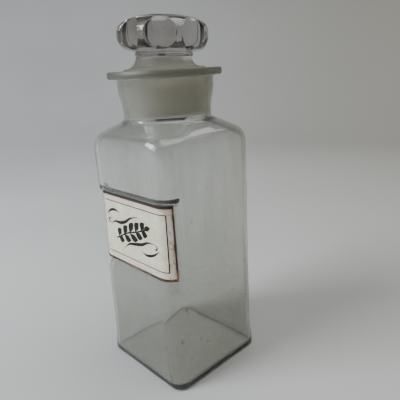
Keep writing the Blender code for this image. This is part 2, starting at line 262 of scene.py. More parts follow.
def body_heights(low, high, spread):
    """Heights up the straight body, crowded at the tray's two ledges."""
    coarse = np.arange(low, high, ROW_STEP)
    bottom, top = tray_span(spread)
    ledges = [
        np.linspace(bottom - BOTTOM_LEDGE - spread - LEDGE_MARGIN, bottom + LEDGE_MARGIN, 15),
        np.linspace(top - LEDGE_MARGIN, top + TOP_LEDGE + spread + LEDGE_MARGIN, 13),
    ]
    away = [z for z in coarse if all(abs(z - ledge).min() > ROW_CLEARANCE for ledge in ledges)]
    return np.sort(np.concatenate([away, *ledges]))


halfway_up = (LABEL_BOTTOM_Z + LABEL_TOP_Z) / 2
print(f"the tray is {recess_depth(halfway_up, 0).max() / MM:.2f} mm deep halfway up")

# %% [markdown]
# ## The shoulder
# The body rises straight, rolls over in an arc and then runs as a straight slope to the neck's
# foot. The roll is tight on the faces and wide on the corners, which start to turn lower down. So
# each section is again a rounded square: its face and its corner are two profiles, and the corner
# radius that joins them grows until the section is a circle.

# %% Sections of the shoulder
CORNER_SHOULDER_Z, CORNER_SHOULDER_RADIUS = 158.4 * MM, 11 * MM
FACE_SHOULDER_Z, FACE_SHOULDER_RADIUS = 164 * MM, 5 * MM
NECK_FOOT_Z, NECK_FOOT_RADIUS = 175.3 * MM, 28.7 * MM
DIAGONAL = 1 / math.sqrt(2)


def shoulder_reach(z, reach, start_z, radius, foot_radius, foot_z):
    """How far the shoulder stands from the axis at this height, on one profile."""
    centre = reach - radius
    if z <= start_z:
        return reach
    run, rise = centre - foot_radius, foot_z - start_z
    turn = math.atan2(rise, -run) - math.acos(radius / math.hypot(run, rise))
    tangent_z = start_z + radius * math.sin(turn)
    if z <= tangent_z:
        return centre + math.sqrt(radius**2 - (z - start_z) ** 2)
    tangent_reach = centre + radius * math.cos(turn)
    return tangent_reach + (foot_radius - tangent_reach) * (z - tangent_z) / (foot_z - tangent_z)


def shoulder_outline(z, inset, foot_radius, foot_z):
    half = HALF_FACE - inset
    corner_reach = HALF_FACE / DIAGONAL - CORNER_RADIUS * (1 / DIAGONAL - 1) - inset
    face = shoulder_reach(z, half, FACE_SHOULDER_Z, FACE_SHOULDER_RADIUS - inset, foot_radius, foot_z)
    edge = shoulder_reach(
        z, corner_reach, CORNER_SHOULDER_Z, CORNER_SHOULDER_RADIUS - inset, foot_radius, foot_z
    )
    corner = (face / DIAGONAL - edge) / (1 / DIAGONAL - 1)
    return outline(face, min(corner, face))


# %% [markdown]
# ## The jar's body
# One glass body has one skin: up the outside, over the flange, down the ground bore and along the
# inside to the floor. Real moulded glass is true outside, where the iron shaped it, and uneven
# inside, where only air did. That unevenness is what makes the far wall swim, so the inner rings
# are pushed in and out by slow waves of a quarter of a millimetre.

# %% The outer rings
HEEL_RADIUS = 2.0 * MM
FOOT_CORNER_RADIUS, FOOT_HEIGHT = 8.5 * MM, 24 * MM
KICK_RADIUS, KICK_HEIGHT = 24 * MM, 1 * MM
NECK_TOP_RADIUS = 31.3 * MM
FLANGE_RADIUS = 37.1 * MM
FLANGE_Z = RIM_Z - 4.7 * MM
BORE_MOUTH_RADIUS = 26.9 * MM
BORE_TAPER = 0.05
GROUND_FOOT_Z = RIM_Z - 28.5 * MM


def bore_radius(z):
    return BORE_MOUTH_RADIUS - BORE_TAPER * (RIM_Z - z)


def corner_radius(z):
    """The outer corner's radius, tighter at the foot where the mould's base plate met its walls."""
    return FOOT_CORNER_RADIUS + (CORNER_RADIUS - FOOT_CORNER_RADIUS) * smooth_step(z, 0, FOOT_HEIGHT)


def outer_rings():
    rings = []
    for share in np.linspace(0.12, 1, 10):
        dish = KICK_HEIGHT * (1 - share**2)
        rings.append(ring_at(outline(KICK_RADIUS * share, KICK_RADIUS * share), dish))
    flat_half = HALF_FACE - HEEL_RADIUS
    for share in (0.35, 0.7):
        half = KICK_RADIUS + (flat_half - KICK_RADIUS) * share
        corner = KICK_RADIUS + (FOOT_CORNER_RADIUS - HEEL_RADIUS - KICK_RADIUS) * share
        rings.append(ring_at(outline(half, corner), 0))
    for turn in np.linspace(0, math.pi / 2, 10):
        inset = HEEL_RADIUS * (1 - math.sin(turn))
        height = HEEL_RADIUS * (1 - math.cos(turn))
        rings.append(ring_at(outline(HALF_FACE - inset, corner_radius(height) - inset), height))
    for z in body_heights(HEEL_RADIUS + 2 * MM, CORNER_SHOULDER_Z, 0.0):
        rings.append(ring_at(outline(HALF_FACE, corner_radius(z), recess_depth(z, 0.0)), z))
    for z in np.linspace(CORNER_SHOULDER_Z, NECK_FOOT_Z - 1.2 * MM, 34):
        rings.append(ring_at(shoulder_outline(z, 0.0, NECK_FOOT_RADIUS, NECK_FOOT_Z), z))
    return rings


def neck_rings():
    """Up the neck, round the flange's lip and down the ground bore."""
    profile = rounded_profile([
        (NECK_FOOT_RADIUS + 0.25 * MM, NECK_FOOT_Z + 0.4 * MM, 0),
        (NECK_FOOT_RADIUS + 0.2 * MM, NECK_FOOT_Z + 7 * MM, 12 * MM),
        (NECK_TOP_RADIUS, FLANGE_Z - 7 * MM, 12 * MM),
        (NECK_TOP_RADIUS, FLANGE_Z, 1.3 * MM),
        (FLANGE_RADIUS - 0.5 * MM, FLANGE_Z + 0.2 * MM, 1.6 * MM),
        (FLANGE_RADIUS, RIM_Z - 2.2 * MM, 1.5 * MM),
        (FLANGE_RADIUS - 0.6 * MM, RIM_Z, 1.1 * MM),
        (BORE_MOUTH_RADIUS, RIM_Z, 0.6 * MM),
        (bore_radius(GROUND_FOOT_Z), GROUND_FOOT_Z, 0.3 * MM),
        (NECK_FOOT_RADIUS - WALL, NECK_FOOT_Z - 1.2 * MM, 1.5 * MM),
        (NECK_FOOT_RADIUS - WALL + 0.4 * MM, NECK_FOOT_Z - 1.9 * MM, 0),
    ])
    return [ring_at(outline(radius, radius), z) for radius, z in profile]


# %% The inner rings
BASE_THICKNESS, INNER_HEEL_RADIUS = 2.2 * MM, 3 * MM
HEEL_CORNER_SHARE, FLOOR_MIDDLE = 0.6, 4 * MM
WAVE_DEPTH, FLOOR_WAVE_SHARE = 0.25 * MM, 0.8


def waves(points):
    """Slow swells over the inner wall, three of them crossing at unlike slants."""
    x, y, z = (points[:, i] / MM for i in range(3))
    swell = np.sin(x / 9 + z / 17 + 1) + np.sin(y / 7 - z / 23 + 2) + 0.7 * np.sin((x + y) / 5 + z / 11)
    return WAVE_DEPTH * swell / 2.7


def inner_rings():
    foot_radius, foot_z = NECK_FOOT_RADIUS - WALL, NECK_FOOT_Z - 1.9 * MM
    half = HALF_FACE - WALL
    rings = []
    for z in np.linspace(foot_z - 0.7 * MM, CORNER_SHOULDER_Z, 26, endpoint=False):
        rings.append(ring_at(shoulder_outline(z, WALL, foot_radius, foot_z), z))
    inner_floor = BASE_THICKNESS + INNER_HEEL_RADIUS
    for z in body_heights(inner_floor + 1 * MM, CORNER_SHOULDER_Z, WALL / 2)[::-1]:
        rings.append(ring_at(outline(half, corner_radius(z) - WALL, recess_depth(z, WALL / 2)), z))
    corner = corner_radius(inner_floor) - WALL
    for turn in np.linspace(0, math.pi / 2, 14):
        inset = INNER_HEEL_RADIUS * (1 - math.cos(turn))
        z = BASE_THICKNESS + INNER_HEEL_RADIUS * (1 - math.sin(turn))
        rings.append(ring_at(outline(half - inset, corner + inset * HEEL_CORNER_SHARE), z))
    edge_half, edge_corner = half - INNER_HEEL_RADIUS, corner + INNER_HEEL_RADIUS * HEEL_CORNER_SHARE
    for share in np.linspace(0, 1, 12)[1:-1]:
        reach = edge_half + (FLOOR_MIDDLE - edge_half) * share
        round_off = edge_corner + (FLOOR_MIDDLE - edge_corner) * share
        crown = KICK_HEIGHT * smooth_step(share, 0.0, 1.0)
        rings.append(ring_at(outline(reach, min(round_off, reach)), BASE_THICKNESS + crown))
    for ring in rings:
        swell = waves(ring)
        outward = ring[:, :2] / np.linalg.norm(ring[:, :2], axis=1)[:, None]
        ring[:, :2] += outward * np.where(ring[:, 2] < BASE_THICKNESS + KICK_HEIGHT, 0, swell)[:, None]
        ring[:, 2] += np.where(ring[:, 2] < inner_floor, swell * FLOOR_WAVE_SHARE, 0)
    return rings


# %% [markdown]
# ## Seeds
# Gas caught in the melt stays in old glass as small bubbles, which makers call seeds. A seed is a
# hollow: a tiny closed egg whose faces point inward, inside the wall. They are strewn with a fixed
# random start, so that every run gives the same jar.

# %% Bubbles inside the wall
SEED_COUNT, SEED_START = 26, 11
SEED_SEGMENTS, SEED_ROWS = 12, 7


def egg(centre, radii):
    """Points and inward faces of one small bubble."""
    points = []
    for row in range(SEED_ROWS):
        tilt = math.pi * (row + 0.5) / SEED_ROWS
        for segment in range(SEED_SEGMENTS):
            turn = 2 * math.pi * segment / SEED_SEGMENTS
            way = (math.sin(tilt) * math.cos(turn), math.sin(tilt) * math.sin(turn), math.cos(tilt))
            points.append([centre[i] + radii[i] * way[i] for i in range(3)])
    return np.array(points), skin_faces(SEED_ROWS, SEED_SEGMENTS)


def seeds():
    """Bubbles in the middle of the wall and in the thick base, away from the label's tray."""
    chance = random.Random(SEED_START)
    eggs = []
    for i in range(SEED_COUNT):
        size = chance.uniform(0.22, 0.6) * MM
        side = chance.choice([0, 1, 2])
        along = chance.uniform(-CORNER_CENTRE, CORNER_CENTRE)
        if i % 4 == 0:
            reach = CORNER_CENTRE * chance.uniform(0.4, 1)
            centre = [reach * math.cos(i), reach * math.sin(i), (BASE_THICKNESS + KICK_HEIGHT) * 0.5]
        else:
            across = HALF_FACE - WALL / 2
            centre = [(across, along), (along, across), (-across, along)][side]
            centre = [*centre, chance.uniform(20, 155) * MM]
        eggs.append(egg(centre, (size, size, size * chance.uniform(1.0, 1.9) if i % 4 else size * 0.5)))
    return eggs


# %% Join the body's skin
def make_jar_body():
    rings = outer_rings() + neck_rings() + inner_rings()
    points = np.concatenate(rings)
    faces = skin_faces(len(rings), SIDES)
    for egg_points, egg_faces in seeds():
        first = len(points)
        points = np.concatenate([points, egg_points])
        faces += [tuple(first + index for index in face) for face in egg_faces]
    return add_piece("moulded_jar", points.tolist(), faces)


jar = make_jar_body()

# %% [markdown]
# ## The stopper
# The stopper was pressed in a mould as one lump: a round head with eight oval thumb-prints, a
# narrow waist, a flare and a plug. Then the plug was turned against wet grit in its own jar until
# it sealed, so its flare and plug are frosted. The plug is hollow from below, which saves glass.
# The ovals are dishes: where a dish's bowl stands proud of the ridge there is no cut at all, and a
# soft maximum keeps the ridge between two of them as round as fire polishing left it. A low bead
# runs round each oval, where the soft glass was pushed up.

# %% The stopper's outline
STOPPER_SIDES = 480
PLUG_GAP = 0.3 * MM
PLUG_WALL, PLUG_HOLLOW_DEPTH = 4.5 * MM, 24 * MM
FLARE_Z, FLARE_RADIUS = RIM_Z + 0.8 * MM, 26 * MM
WAIST_Z, WAIST_RADIUS = 213.5 * MM, 18 * MM
HEAD_UNDERSIDE_Z, HEAD_UNDERSIDE_RADIUS = 216.8 * MM, 19 * MM
HEAD_MIDDLE_Z, HEAD_RADIUS = 226.3 * MM, 29.6 * MM
HEAD_TOP_Z, HEAD_TOP_RADIUS = 237.45 * MM, 14 * MM
FLUTES = 8
FLUTE_DEPTH, FLUTE_HALF_HEIGHT = 2.6 * MM, 9.3 * MM
FLUTE_HALF_ANGLE, FIRST_FLUTE = math.radians(19.5), math.radians(-43.3)
LEAN, LEAN_AXIS = math.radians(2.8), Vector((-0.77, 0.64, 0)).normalized()
RIDGE_SOFTNESS = 0.006
BEAD_HEIGHT, BEAD_WIDTH = 0.3 * MM, 0.10


def plug_radius(z):
    return bore_radius(z) - PLUG_GAP


def stopper_profile():
    """(radius, height) from the hollow's crown, down, out, up the plug and over the head."""
    crown_z = PLUG_FOOT_Z + PLUG_HOLLOW_DEPTH
    dome_z = crown_z - 7 * MM
    hollow = plug_radius(dome_z) - PLUG_WALL
    turns = np.linspace(math.radians(4), math.pi / 2, 14)
    dome = [(hollow * math.sin(turn), dome_z + (crown_z - dome_z) * math.cos(turn)) for turn in turns]
    foot_radius = plug_radius(PLUG_FOOT_Z)
    plug = rounded_profile([
        (hollow, dome_z - 0.5 * MM, 0),
        (foot_radius - PLUG_WALL, PLUG_FOOT_Z + 2 * MM, 4 * MM),
        (foot_radius - PLUG_WALL + 1 * MM, PLUG_FOOT_Z, 1 * MM),
        (foot_radius, PLUG_FOOT_Z, 1.2 * MM),
        (plug_radius(RIM_Z), RIM_Z, 0.2 * MM),
        (FLARE_RADIUS, FLARE_Z, 0.3 * MM),
        (FLARE_RADIUS - 0.1 * MM, FLARE_Z + 0.3 * MM, 0),
    ])
    turns = np.linspace(0.05, math.pi / 2, 18)
    sweep = FLARE_RADIUS - WAIST_RADIUS
    flare = [
        (FLARE_RADIUS - sweep * math.sin(turn), WAIST_Z - (WAIST_Z - FLARE_Z) * math.cos(turn))
        for turn in turns
    ]
    neck = rounded_profile([
        (WAIST_RADIUS, WAIST_Z + 0.2 * MM, 0),
        (WAIST_RADIUS + 0.9 * MM, WAIST_Z + 1.8 * MM, 1.2 * MM),
        (WAIST_RADIUS + 0.2 * MM, HEAD_UNDERSIDE_Z - 0.4 * MM, 0.8 * MM),
        (HEAD_UNDERSIDE_RADIUS + 0.6 * MM, HEAD_UNDERSIDE_Z, 0),
    ], step=0.5 * MM)
    below = HEAD_MIDDLE_Z - HEAD_UNDERSIDE_Z
    above = HEAD_TOP_Z - HEAD_MIDDLE_Z
    lower = [
        (HEAD_UNDERSIDE_RADIUS + (HEAD_RADIUS - HEAD_UNDERSIDE_RADIUS) * math.cos(turn),
         HEAD_MIDDLE_Z - below * math.sin(turn))
        for turn in np.linspace(math.radians(82), 0, 40, endpoint=False)
    ]
    upper = [
        (HEAD_TOP_RADIUS + (HEAD_RADIUS - HEAD_TOP_RADIUS) * math.cos(turn),
         HEAD_MIDDLE_Z + above * math.sin(turn))
        for turn in np.linspace(0, math.pi / 2, 52)
    ]
    cap = [(HEAD_TOP_RADIUS * share, HEAD_TOP_Z) for share in (0.8, 0.5, 0.2)]
    return np.concatenate([dome, plug, flare, neck, lower, upper, cap])


def flute_cut(angles, z):
    """How deep the thumb-prints bite on every spoke at this height."""
    pitch = 2 * math.pi / FLUTES
    across = (angles - FIRST_FLUTE + pitch / 2) % pitch - pitch / 2
    bowl = 1 - (across / FLUTE_HALF_ANGLE) ** 2 - ((z - HEAD_MIDDLE_Z) / FLUTE_HALF_HEIGHT) ** 2
    bead = BEAD_HEIGHT * np.exp(-(bowl / BEAD_WIDTH) ** 2)
    return FLUTE_DEPTH * (bowl + np.sqrt(bowl**2 + RIDGE_SOFTNESS)) / 2 - bead


def make_stopper():
    angles = FIRST_FLUTE + 2 * math.pi * np.arange(STOPPER_SIDES) / STOPPER_SIDES
    rings = []
    pivot = Vector((0, 0, FLARE_Z))
    for radius, z in stopper_profile():
        cut = flute_cut(angles, z) if z > HEAD_UNDERSIDE_Z else 0
        reach = radius - cut
        ring = ring_at(np.column_stack([reach * np.cos(angles), reach * np.sin(angles)]), z)
        share = min(1.0, max(0.0, (z - FLARE_Z) / (WAIST_Z - FLARE_Z)))
        tip = np.array(Matrix.Rotation(LEAN * share, 3, LEAN_AXIS))
        rings.append((ring - pivot) @ tip.T + pivot)
    faces = skin_faces(len(rings), STOPPER_SIDES)
    return add_piece("pressed_stopper", np.concatenate(rings).tolist(), faces)


stopper = make_stopper()

# %% [markdown]
# ## Label layers
# The pane, the printed sheet and the resin are layers laid in the tray. We draw each on a flat
# plan, with one measure along the bend and one up, and give it a front and a back depth. One
# function then bends the plan round the corners, much as the real sheet was fitted.

# %% Bend a flat plan round the front
FLAT_HALF = CORNER_CENTRE
PANE_HALF_ARC = math.radians(63)
PANE_HALF_LENGTH = FLAT_HALF + CORNER_RADIUS * PANE_HALF_ARC


def bent(along, z, depth):
    """The place in the jar of a point this far along the bend, this high, this deep behind the face."""
    arc = np.maximum(np.abs(along) - FLAT_HALF, 0) / CORNER_RADIUS
    radius = CORNER_RADIUS - depth
    flat = np.minimum(np.abs(along), FLAT_HALF)
    x = np.sign(along) * (flat + radius * np.sin(arc))
    y = -CORNER_CENTRE - radius * np.cos(arc)
    return np.stack([x, y, np.broadcast_to(z, x.shape)], -1)


def layer(name, half_length, low_z, high_z, front, back, edge_steps, step=1.6 * MM):
    """A closed sheet whose front and back depths are functions of along and z."""
    along = edge_lines(-half_length, half_length, edge_steps, step)
    heights = edge_lines(low_z, high_z, edge_steps, step)
    grid_along, grid_z = np.meshgrid(along, heights)
    sides = [
        bent(grid_along, grid_z, pane_depth(grid_z) + depth(grid_along, grid_z)) for depth in (front, back)
    ]
    rows, columns = grid_along.shape
    points = np.concatenate([side.reshape(-1, 3) for side in sides])
    faces = []
    behind = rows * columns
    for row in range(rows - 1):
        for column in range(columns - 1):
            a = row * columns + column
            quad = (a, a + 1, a + columns + 1, a + columns)
            faces.append(quad)
            faces.append(tuple(behind + index for index in reversed(quad)))
    border = list(range(columns))
    border += [row * columns + columns - 1 for row in range(1, rows)]
    border += [(rows - 1) * columns + column for column in range(columns - 2, -1, -1)]
    border += [row * columns for row in range(rows - 2, 0, -1)]
    for here, after in zip(border, border[1:] + border[:1]):
        faces.append((after, here, behind + here, behind + after))
    return add_piece(name, points.tolist(), faces, smooth_angle=40)


def edge_lines(low, high, edge_steps, step):
    """Even grid lines from low to high, with extra ones close to both ends."""
    inner = np.linspace(low + edge_steps[-1], high - edge_steps[-1], round((high - low) / step))
    near = np.array(edge_steps[:-1])
    return np.concatenate([low + near, inner, high - near[::-1]])


# %% [markdown]
# ## The pane
# The pane is thin sheet glass, bent over an iron former and cut to size. Its edges were only
# rubbed down on a stone, so they are round, and its front still has the ripple of drawn glass.

# %% The pane over the label
PANE_EDGE = 0.2 * MM


def border_distance(along, z, half_length, low_z, high_z):
    """How far a plan point is inside the nearest edge."""
    return np.minimum(half_length - np.abs(along), np.minimum(z - low_z, high_z - z))


def round_over(along, z):
    from_edge = border_distance(along, z, PANE_HALF_LENGTH, LABEL_BOTTOM_Z, LABEL_TOP_Z)
    inside = np.clip(from_edge, 0, PANE_EDGE)
    return PANE_EDGE - np.sqrt(PANE_EDGE**2 - (PANE_EDGE - inside) ** 2)


def pane_front(along, z):
    ripple = 0.03 * MM * np.sin(along / (6 * MM)) * np.sin(z / (11 * MM) + 1)
    return round_over(along, z) + np.abs(ripple)


def pane_back(along, z):
    return PANE_THICKNESS - 0.6 * round_over(along, z)


EDGE_STEPS = [step * MM for step in (0, 0.03, 0.07, 0.13, 0.2, 1)]
pane = layer(
    "label_pane", PANE_HALF_LENGTH, LABEL_BOTTOM_Z, LABEL_TOP_Z, pane_front, pane_back, EDGE_STEPS,
)

# %% [markdown]
# ## The sheet and its ink
# The label is a cream sheet printed with a thin dark frame and black ornament. The words of the
# trade are left out: a sprig of leaves stands in their place, with pen flourishes round it. The
# ink is real geometry, a film three hundredths of a millimetre proud, because a thin shape keeps
# a clean edge up close, where a painted pattern would blur.

# %% The printed sheet
SHEET_MARGIN = 0.35 * MM
SHEET_SINK = PANE_THICKNESS + GAP
sheet_half = PANE_HALF_LENGTH - SHEET_MARGIN
sheet_low, sheet_high = LABEL_BOTTOM_Z + SHEET_MARGIN, LABEL_TOP_Z - SHEET_MARGIN


def sheet_front(along, z):
    """The paper lies flat but for a faint cockle near its ends."""
    cockle = np.sin(along / (3.1 * MM) + z / (7 * MM)) * smooth_step(np.abs(along), 20 * MM, 40 * MM)
    return SHEET_SINK + 0.02 * MM * (1 + cockle)


def sheet_back(along, z):
    return SHEET_SINK + SHEET_THICKNESS + 0 * along


sheet_edge = EDGE_STEPS[:3] + EDGE_STEPS[-1:]
sheet = layer("printed_label", sheet_half, sheet_low, sheet_high, sheet_front, sheet_back, sheet_edge)

# %% Strokes of ink
INK_HEIGHT, INK_LIFT = 0.03 * MM, 0.02 * MM
LEAST_HALF_WIDTH = 0.02 * MM


def smooth_path(stops, steps):
    """A Catmull-Rom curve through the stops, as steps + 1 points."""
    stops = np.array(stops, float)
    padded = np.concatenate([[2 * stops[0] - stops[1]], stops, [2 * stops[-1] - stops[-2]]])
    path = []
    for share in np.linspace(0, len(stops) - 1, steps + 1):
        i = min(int(share), len(stops) - 2)
        t = share - i
        a, b, c, d = padded[i:i + 4]
        path.append(0.5 * (2 * b + (c - a) * t + (2 * a - 5 * b + 4 * c - d) * t**2
                           + (3 * b - a - 3 * c + d) * t**3))
    return np.array(path)


def stroke(stops, widths, steps=24):
    """A pen stroke along the stops, as the points and faces of a thin solid. widths(share) in mm."""
    path = smooth_path(stops, steps) * MM
    way = np.gradient(path, axis=0)
    side = np.column_stack([-way[:, 1], way[:, 0]]) / np.linalg.norm(way, axis=1)[:, None]
    half = np.array([widths(share) for share in np.linspace(0, 1, steps + 1)])[:, None] * MM / 2
    loops = []
    raised = INK_LIFT + INK_HEIGHT
    for edge, lift in ((side, INK_LIFT), (-side, INK_LIFT), (-side, raised), (side, raised)):
        flat = path + edge * np.maximum(half, LEAST_HALF_WIDTH)
        depth = pane_depth(flat[:, 1]) + SHEET_SINK - lift
        loops.append(bent(flat[:, 0], flat[:, 1], depth))
    points = np.stack(loops, 1).reshape(-1, 3)
    return points, skin_faces(steps + 1, 4)


def swelling(most, least=0.25):
    """A pointed stroke that swells in its middle, as from a broad pen."""
    return lambda share: least + (most - least) * math.sin(math.pi * share) ** 1.3


def even(width):
    return lambda share: width


# %% Draw the frame, the flourishes and the sprig
FRAME_ARC = math.radians(38)
FRAME_HALF = FLAT_HALF + CORNER_RADIUS * FRAME_ARC
PAPER_RADIUS = CORNER_RADIUS - SHEET_SINK - (PANE_DEPTH_BOTTOM + PANE_DEPTH_TOP) / 2
FRAME_X = CORNER_CENTRE + PAPER_RADIUS * math.sin(FRAME_ARC)
PAPER_END_X = CORNER_CENTRE + PAPER_RADIUS * math.sin(PANE_HALF_ARC)
FRAME_LOW, FRAME_HIGH = 85.4, 122.8
FRAME_LINE, FRAME_END_LINE = 0.6, 1.0
SPRIG_MIDDLE = Vector((0.4, 104.8))
SPRIG_SLANT = math.radians(20)
SPRIG_HALF, SPRIG_PAIRS = 18.5, 5


def frame_strokes():
    half = FRAME_HALF / MM
    across = [[(-half, z), (0, z), (half, z)] for z in (FRAME_LOW, FRAME_HIGH)]
    middle = (FRAME_LOW + FRAME_HIGH) / 2
    upright = [[(x, FRAME_LOW), (x, middle), (x, FRAME_HIGH)] for x in (-half, half)]
    strokes = [stroke(line, even(FRAME_LINE), 60) for line in across]
    return strokes + [stroke(line, even(FRAME_END_LINE), 20) for line in upright]


def flourish_strokes():
    """Two long swashes with a curl each, and a short stroke beside each of them."""
    upper = [(-24, 106.2), (-19, 108.6), (-13, 108.8), (-7, 110.6), (-1, 114.2), (6.7, 116.6)]
    lower = [(-10, 91.4), (-4.5, 95.4), (2, 97.0), (10, 98.8), (16.5, 101.6), (23.5, 102.2)]
    return [
        stroke([(-27.5, 112.6), (-24, 115.6), (-18.5, 116.9), (-12.7, 115.8)], swelling(1.9)),
        stroke(upper, swelling(2.3), 40),
        stroke([(-24, 106.2), (-26.4, 107.4), (-26, 109.6), (-23.6, 109.8)], swelling(1.2)),
        stroke(lower, swelling(2.3), 40),
        stroke([(23.5, 102.2), (25.8, 100.9), (25.0, 99.0), (22.9, 99.3)], swelling(1.2)),
        stroke([(9.4, 93.6), (15, 92.6), (22, 94.6), (28.3, 99)], swelling(1.9)),
    ]


def sprig_strokes():
    """A stem with broad leaves in pairs, rising to the right."""
    turn = Matrix.Rotation(SPRIG_SLANT, 2)

    def placed(points):
        return [tuple(SPRIG_MIDDLE + turn @ Vector(point)) for point in points]

    stem = [(-SPRIG_HALF - 2, -1.2), (-6, 0.3), (6, -0.3), (SPRIG_HALF, 0)]
    strokes = [stroke(placed(stem), even(1.1), 40)]
    for i in range(SPRIG_PAIRS):
        share = i / (SPRIG_PAIRS - 1)
        start = -SPRIG_HALF + 1 + share * (2 * SPRIG_HALF - 9)
        length = 8.6 - 2.4 * abs(share - 0.5) * 2
        for side in (1, -1):
            middle = (start + length * 0.42, side * length * 0.46)
            end = (start + length * 0.9, side * length * 0.68)
            strokes.append(stroke(placed([(start, 0), middle, end]), swelling(5.0), 20))
    tip = [(SPRIG_HALF - 5, 0), (SPRIG_HALF - 1, 0.5), (SPRIG_HALF + 2.5, 0.2)]
    strokes.append(stroke(placed(tip), swelling(3.6), 20))
    return strokes


def make_ink():
    points, faces = [], []
    for stroke_points, stroke_faces in frame_strokes() + flourish_strokes() + sprig_strokes():
        faces += [tuple(len(points) + index for index in face) for face in stroke_faces]
        points += stroke_points.tolist()
    return add_piece("label_ink", points, faces)


ink = make_ink()

# %% [markdown]
# ## The resin
# Pane and sheet were bedded in hot resin cement. It squeezed out round the edge and set as a dark
# line, thick along the top where it was poured and thinner on the other sides. Seen from behind,
# through the jar, it is the label's dark back, and the glass in front greys it. It is one layer
# again, with a pocket that the sheet and pane lie in, and a lumpy rim.

# %% The cement round the pane
CEMENT_HALF_LENGTH = FLAT_HALF + CORNER_RADIUS * math.radians(66.5)
CEMENT_ABOVE, CEMENT_BELOW = 1.6 * MM, 0.85 * MM
SINK_IN = 0.05 * MM
RIM_SINK, RIM_LUMP = 0.22 * MM, 0.10 * MM
bed_sink = SHEET_SINK + SHEET_THICKNESS + GAP


def cement_front(along, z):
    """The lumpy rim outside the pane, and the bed inside it."""
    out = -border_distance(along, z, PANE_HALF_LENGTH, LABEL_BOTTOM_Z, LABEL_TOP_Z)
    in_rim = smooth_step(out, -0.08 * MM, -0.02 * MM)
    lump = np.sin(along / (1.7 * MM)) * np.sin(along / (4.3 * MM) + z / (2.9 * MM))
    rim = RIM_SINK + RIM_LUMP * lump
    return bed_sink + (rim - bed_sink) * in_rim


def cement_back(along, z):
    """Against the tray, and a hair into it, so that no air shows between resin and glass."""
    return bed_sink + BED_THICKNESS + GAP + SINK_IN + 0 * along


CEMENT_EDGE = [
    step * MM for step in (0, 0.2, 0.5, 0.8, 1.1, 1.12, 1.16, 1.22, 1.42, 1.48, 1.6, 1.68, 2)
]
cement = layer(
    "resin_bed", CEMENT_HALF_LENGTH, LABEL_BOTTOM_Z - CEMENT_BELOW, LABEL_TOP_Z + CEMENT_ABOVE,
    cement_front, cement_back, CEMENT_EDGE,
)

# %% [markdown]
# ## Shader maths
# Every finish below is a small sum, such as one mask times another. Wiring it by hand hides it, so
# one class wraps a socket and lets Python's own + - * add the Math nodes. A second class holds a
# material and has one method that adds any other node.

# %% Sockets that add up
class Wire:
    """An output of a node. Arithmetic on it adds Math nodes to the same material."""

    def __init__(self, finish, socket):
        self.finish, self.socket = finish, socket

    def maths(self, operation, *values):
        return self.finish.node("ShaderNodeMath", {"operation": operation}, dict(enumerate(values)))

    def __add__(self, other):
        return self.maths("ADD", self, other)

    def __sub__(self, other):
        return self.maths("SUBTRACT", self, other)

    def __rsub__(self, other):
        return self.maths("SUBTRACT", other, self)

    def __mul__(self, other):
        return self.maths("MULTIPLY", self, other)

    __radd__, __rmul__ = __add__, __mul__

    def absolute(self):
        return self.maths("ABSOLUTE", self)

    def step(self, start, end):
        """0 before start, 1 after end, and smooth between them."""
        settings = {"interpolation_type": "SMOOTHSTEP"}
        return self.finish.node("ShaderNodeMapRange", settings, {"Value": self, 1: start, 2: end})


class Finish:
    """A material under construction."""

    def __init__(self, name):
        self.material = bpy.data.materials.new(name)
        self.material.use_nodes = True
        self.tree = self.material.node_tree
        self.tree.nodes.clear()

    def node(self, kind, settings=None, sockets=None, output=0):
        """Adds a node: its settings first, then the values or wires of its sockets."""
        made = self.tree.nodes.new(kind)
        for key, value in (settings or {}).items():
            if key == "stops":
                for i, (place, colour) in enumerate(value):
                    stop = made.color_ramp.elements[i] if i < 2 else made.color_ramp.elements.new(place)
                    stop.position, stop.color = place, (*colour, 1)
            else:
                setattr(made, key, value)
        for key, value in (sockets or {}).items():
            if isinstance(value, Wire):
                self.tree.links.new(value.socket, made.inputs[key])
            else:
                made.inputs[key].default_value = value
        return Wire(self, made.outputs[output])

    def place(self):
        """Where a point is in the jar, in metres, as a vector and as three numbers."""
        vector = self.node("ShaderNodeTexCoord", output="Object")
        parts = self.node("ShaderNodeSeparateXYZ", None, {0: vector}).socket.node
        return vector, *(Wire(self, parts.outputs[i]) for i in range(3))

    def noise(self, vector, scale, detail=3.0, roughness=0.5, stretch=None):
        """Noise about 1 / scale metres across. stretch squeezes space first, for runs and streaks."""
        if stretch:
            multiply = {"operation": "MULTIPLY"}
            vector = self.node("ShaderNodeVectorMath", multiply, {0: vector, 1: stretch})
        sockets = {"Vector": vector, "Scale": scale, "Detail": detail, "Roughness": roughness}
        return self.node("ShaderNodeTexNoise", None, sockets)

    def mix(self, mask, first, second):
        """first where the mask is 0 and second where it is 1."""
        first, second = ((*c, 1) if isinstance(c, tuple) else c for c in (first, second))
        sockets = {0: mask, 6: first, 7: second}
        return self.node("ShaderNodeMix", {"data_type": "RGBA"}, sockets, output=2)

    def coats(self, colour, *coats):
        """Lays coats over a colour in turn, each given as a mask and a colour."""
        for mask, coat in coats:
            colour = self.mix(mask, colour, coat)
        return colour

    def bump(self, height, strength, distance=0.1 * MM):
        sockets = {"Height": height, "Strength": strength, "Distance": distance}
        return self.node("ShaderNodeBump", None, sockets)

    def done(self, absorption=None, **plain):
        """Ends in one Principled shader, and in glass that tints with depth if absorption is given."""
        inputs = {name.replace("_", " "): value for name, value in plain.items()}
        sockets = {"Surface": self.node("ShaderNodeBsdfPrincipled", None, inputs)}
        if absorption:
            colour, density = absorption
            inputs = {"Color": (*colour, 1), "Density": density}
            sockets["Volume"] = self.node("ShaderNodeVolumeAbsorption", None, inputs)
        output = self.tree.nodes.new("ShaderNodeOutputMaterial")
        for name, wire in sockets.items():
            self.tree.links.new(wire.socket, output.inputs[name])
        print("finish:", self.material.name)
        return self.material


